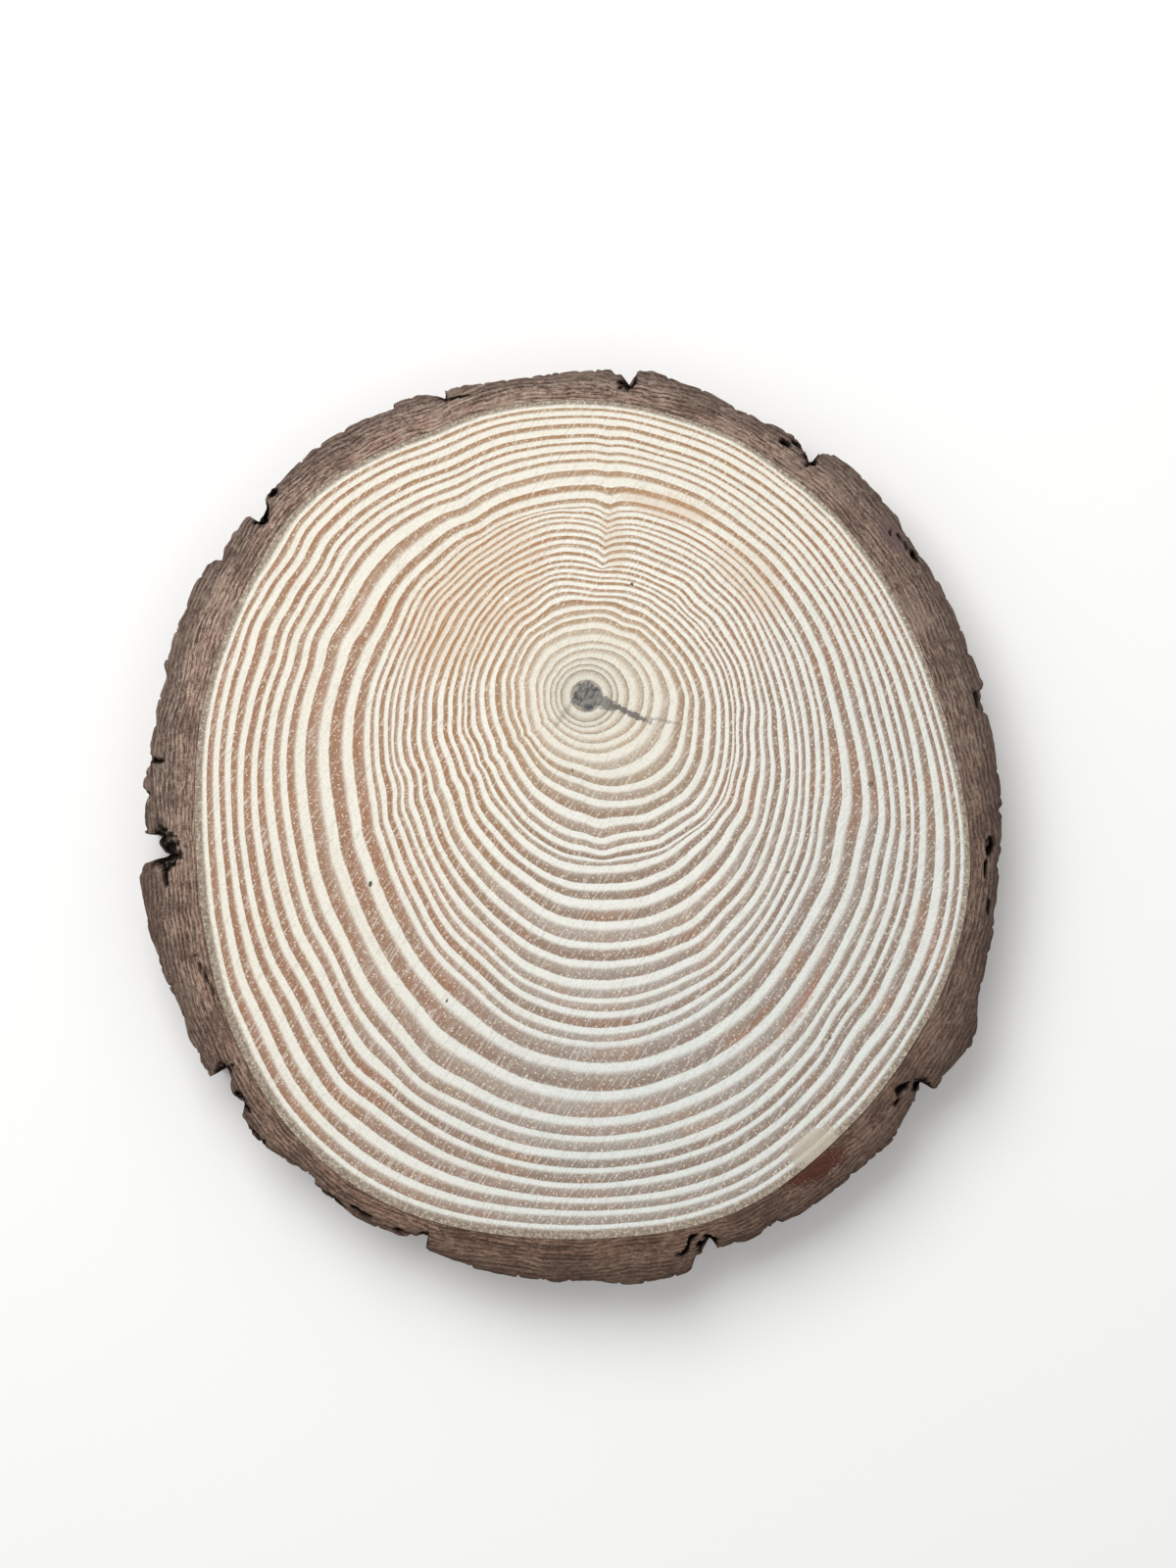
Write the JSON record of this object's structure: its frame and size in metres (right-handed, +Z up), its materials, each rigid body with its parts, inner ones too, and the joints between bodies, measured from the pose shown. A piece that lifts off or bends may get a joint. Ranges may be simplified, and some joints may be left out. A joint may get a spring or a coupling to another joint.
{
  "type": "wood slice",
  "caption": "Flat crosswise slice of a pine log with its bark on, sawn parallel on both faces, for standing things on or for craft work.",
  "frame": {"origin": "middle of the slice's bounding box, on the lower sawn face", "axes": "+Z up through the thickness, from the lower sawn face to the upper one; +Y along the longer way across, from the widely spaced rings towards the pith's side; +X to the right of +Y when looking down on the upper face"},
  "size_m": [0.221, 0.234, 0.022],
  "materials": {
    "sapwood": "sawn and sanded smooth, unvarnished, matt",
    "bark": "rough, dry, matt"
  },
  "bodies": {
    "root": {"wood_slice": "sapwood"}
  },
  "joints": []
}
